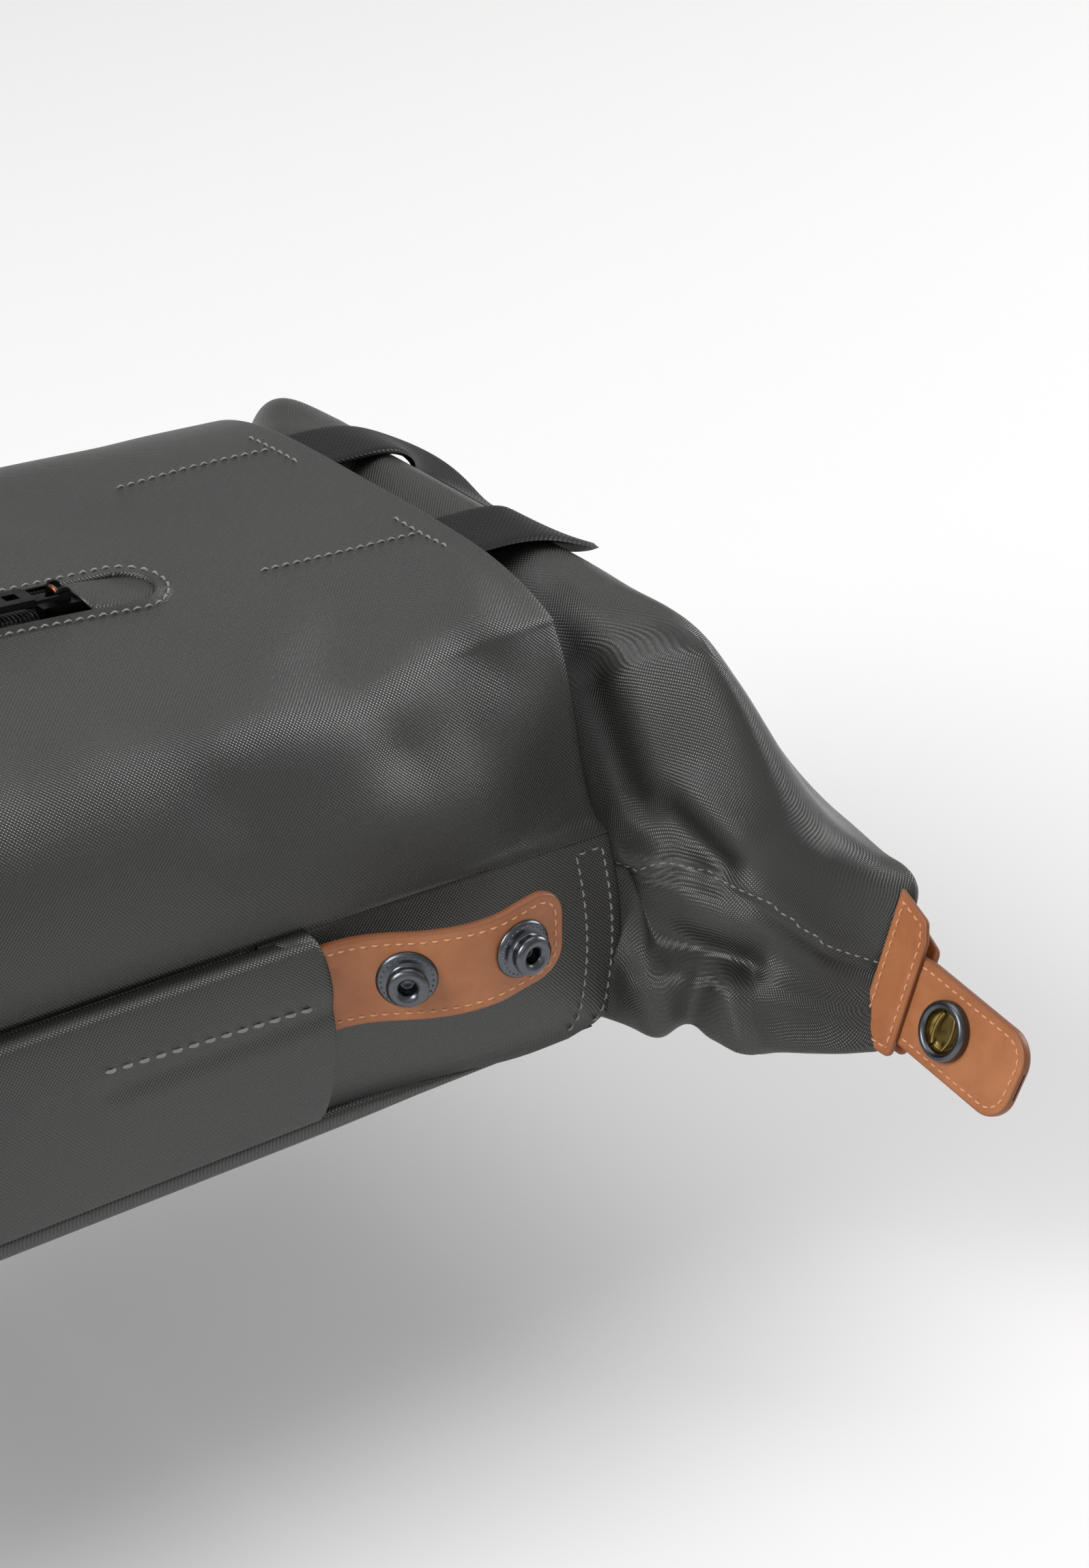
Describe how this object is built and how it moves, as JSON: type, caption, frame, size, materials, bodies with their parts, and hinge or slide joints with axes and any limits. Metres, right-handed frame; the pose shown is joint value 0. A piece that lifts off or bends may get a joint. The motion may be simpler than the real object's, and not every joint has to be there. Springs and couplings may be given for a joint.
{
  "type": "roll-top bag",
  "caption": "Roll-top bag of coated canvas lying on its back: boxy body with a front zip pocket, flared collar, webbing handle, leather closing tabs and studded side straps.",
  "frame": {"origin": "middle of the back panel's flat outer face, which lies on the floor", "axes": "+X runs from the bottom of the bag to its mouth, +Z from the back to the front, -Y to the bag's right side"},
  "size_m": [0.4069, 0.4194, 0.142],
  "materials": {
    "canvas": "dark grey waxed plain-weave canvas",
    "canvas_facing": "dark grey coated canvas, inner side",
    "lining": "grey polyester lining",
    "leather": "tan vegetable-tanned leather, smooth grain",
    "webbing": "black ribbed cotton webbing",
    "zip_black": "black moulded nylon and woven tape",
    "gunmetal": "gunmetal-plated pressed brass",
    "brass": "bare brass inside the snap socket",
    "thread": "grey polyester sewing thread",
    "leather_thread": "tan waxed sewing thread",
    "stiffener": "hidden polyethylene strip"
  },
  "bodies": {
    "bag": {"back_panel": "canvas", "front_panel": "canvas", "side_gusset_right": "canvas", "side_gusset_left": "canvas", "bottom_gusset": "canvas", "gusset_facing_right": "canvas_facing", "gusset_facing_left": "canvas_facing", "front_edge_facing": "canvas_facing", "lining": "lining", "side_sleeve_right": "canvas", "side_sleeve_left": "canvas", "strap_root_right": "leather", "strap_root_left": "leather", "zip_pocket_lining": "lining", "zip_tape": "zip_black", "zip_teeth": "zip_black", "zip_end_stop": "zip_black", "zip_garage": "canvas_facing", "webbing_anchor_right": "webbing", "webbing_anchor_left": "webbing"},
    "collar": {"collar_front": "canvas", "collar_back": "canvas", "collar_side_right": "canvas", "collar_side_left": "canvas", "mouth_facing_front": "canvas_facing", "mouth_facing_back": "canvas_facing", "mouth_stiffener": "stiffener", "patch_outer_right": "leather", "patch_inner_right": "leather", "tab_root_right": "leather", "patch_outer_left": "leather", "patch_inner_left": "leather", "tab_root_left": "leather"},
    "slider": {"zip_slider": "gunmetal"},
    "puller": {"zip_puller": "zip_black"},
    "handle": {"handle_webbing": "webbing"},
    "tab_right": {"tab_leather_right": "leather", "tab_backing_right": "leather", "snap_socket_right": "gunmetal", "snap_cap_right": "gunmetal"},
    "strap_right": {"strap_leather_right": "leather", "strap_backing_right": "leather", "strap_studs_right": "gunmetal", "stud_backs_right": "gunmetal"},
    "tab_left": {"tab_leather_left": "leather", "tab_backing_left": "leather", "snap_socket_left": "gunmetal", "snap_cap_left": "gunmetal"},
    "strap_left": {"strap_leather_left": "leather", "strap_backing_left": "leather", "strap_studs_left": "gunmetal", "stud_backs_left": "gunmetal"}
  },
  "joints": [
    {"name": "collar_lift", "type": "hinge", "parent": "bag", "child": "collar", "pos_m": [0.165, 0, 0.059], "axis": [0, -1, 0], "range_deg": [0, 10]},
    {"name": "handle_swing", "type": "hinge", "parent": "bag", "child": "handle", "pos_m": [0.1675, 0, 0.1182], "axis": [0, -1, 0], "range_deg": [0, 70]},
    {"name": "zip_slide", "type": "slide", "parent": "bag", "child": "slider", "axis": [-0.9976, 0, 0.0698], "range_m": [0, 0.136]},
    {"name": "puller_tilt", "type": "hinge", "parent": "slider", "child": "puller", "pos_m": [0.05027, -0.026, 0.13254], "axis": [0, 1, 0], "range_deg": [0, 150]},
    {"name": "tab_swing_right", "type": "hinge", "parent": "collar", "child": "tab_right", "pos_m": [0.21977, -0.169, 0.01778], "axis": [0.342, 0, 0.9397], "range_deg": [-85, 85]},
    {"name": "strap_lift_right", "type": "hinge", "parent": "bag", "child": "strap_right", "pos_m": [0.0756, -0.1097, 0.047], "axis": [0, 0, -1], "range_deg": [0, 60]},
    {"name": "tab_swing_left", "type": "hinge", "parent": "collar", "child": "tab_left", "pos_m": [0.21977, 0.169, 0.01778], "axis": [-0.342, 0, -0.9397], "range_deg": [-85, 85]},
    {"name": "strap_lift_left", "type": "hinge", "parent": "bag", "child": "strap_left", "pos_m": [0.0756, 0.1097, 0.047], "axis": [0, 0, 1], "range_deg": [0, 60]}
  ]
}
